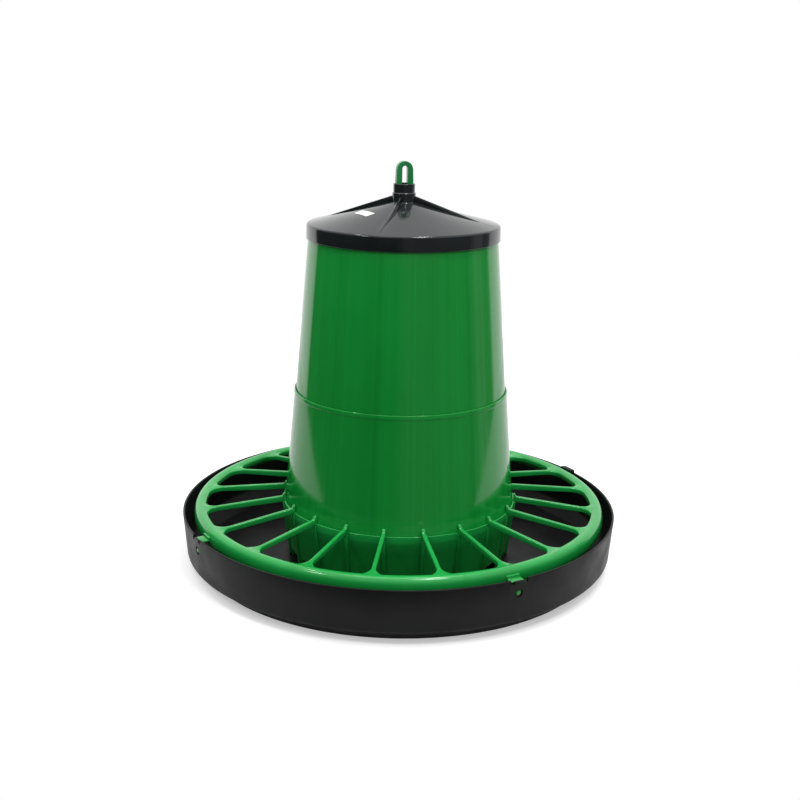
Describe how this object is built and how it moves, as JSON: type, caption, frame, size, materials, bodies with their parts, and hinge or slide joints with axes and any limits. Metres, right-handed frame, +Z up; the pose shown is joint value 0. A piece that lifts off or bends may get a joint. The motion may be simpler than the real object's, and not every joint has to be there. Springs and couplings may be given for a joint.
{
  "type": "poultry feeder",
  "caption": "Round hanging or standing poultry feeder: feed pan with a barred anti-waste grille, two-section hopper, conical lid and a central hanging rod.",
  "frame": {"origin": "centre of the foot ring under the pan, on the surface that the feeder stands on", "axes": "+Z up along the feeder's axis, -Y towards the front, +X to the right seen from the front"},
  "size_m": [0.5, 0.5, 0.4557],
  "materials": {
    "pan_plastic": "satin black moulded plastic",
    "grille_plastic": "glossy bright green moulded plastic",
    "hopper_plastic": "glossy green moulded plastic",
    "lid_plastic": "glossy black moulded plastic",
    "label_film": "plain white sticker",
    "rod_plastic": "green moulded plastic"
  },
  "bodies": {
    "base": {"pan": "pan_plastic", "grille": "grille_plastic"},
    "hopper": {"hopper_lower": "hopper_plastic"},
    "upper_section": {"hopper_upper": "hopper_plastic"},
    "cover": {"lid": "lid_plastic", "blank_label": "label_film"},
    "rod": {"hanging_rod": "rod_plastic"}
  },
  "joints": [
    {"name": "hopper_lift", "type": "slide", "parent": "base", "child": "hopper", "axis": [0, 0, 1], "range_m": [0, 0.4]},
    {"name": "upper_section_lift", "type": "slide", "parent": "hopper", "child": "upper_section", "axis": [0, 0, 1], "range_m": [0, 0.3]},
    {"name": "lid_lift", "type": "slide", "parent": "upper_section", "child": "cover", "axis": [0, 0, 1], "range_m": [0, 0.1]},
    {"name": "rod_turn", "type": "hinge", "parent": "base", "child": "rod", "pos_m": [0, 0, 0.0623], "axis": [0, 0, 1], "range_deg": [0, 90]}
  ]
}
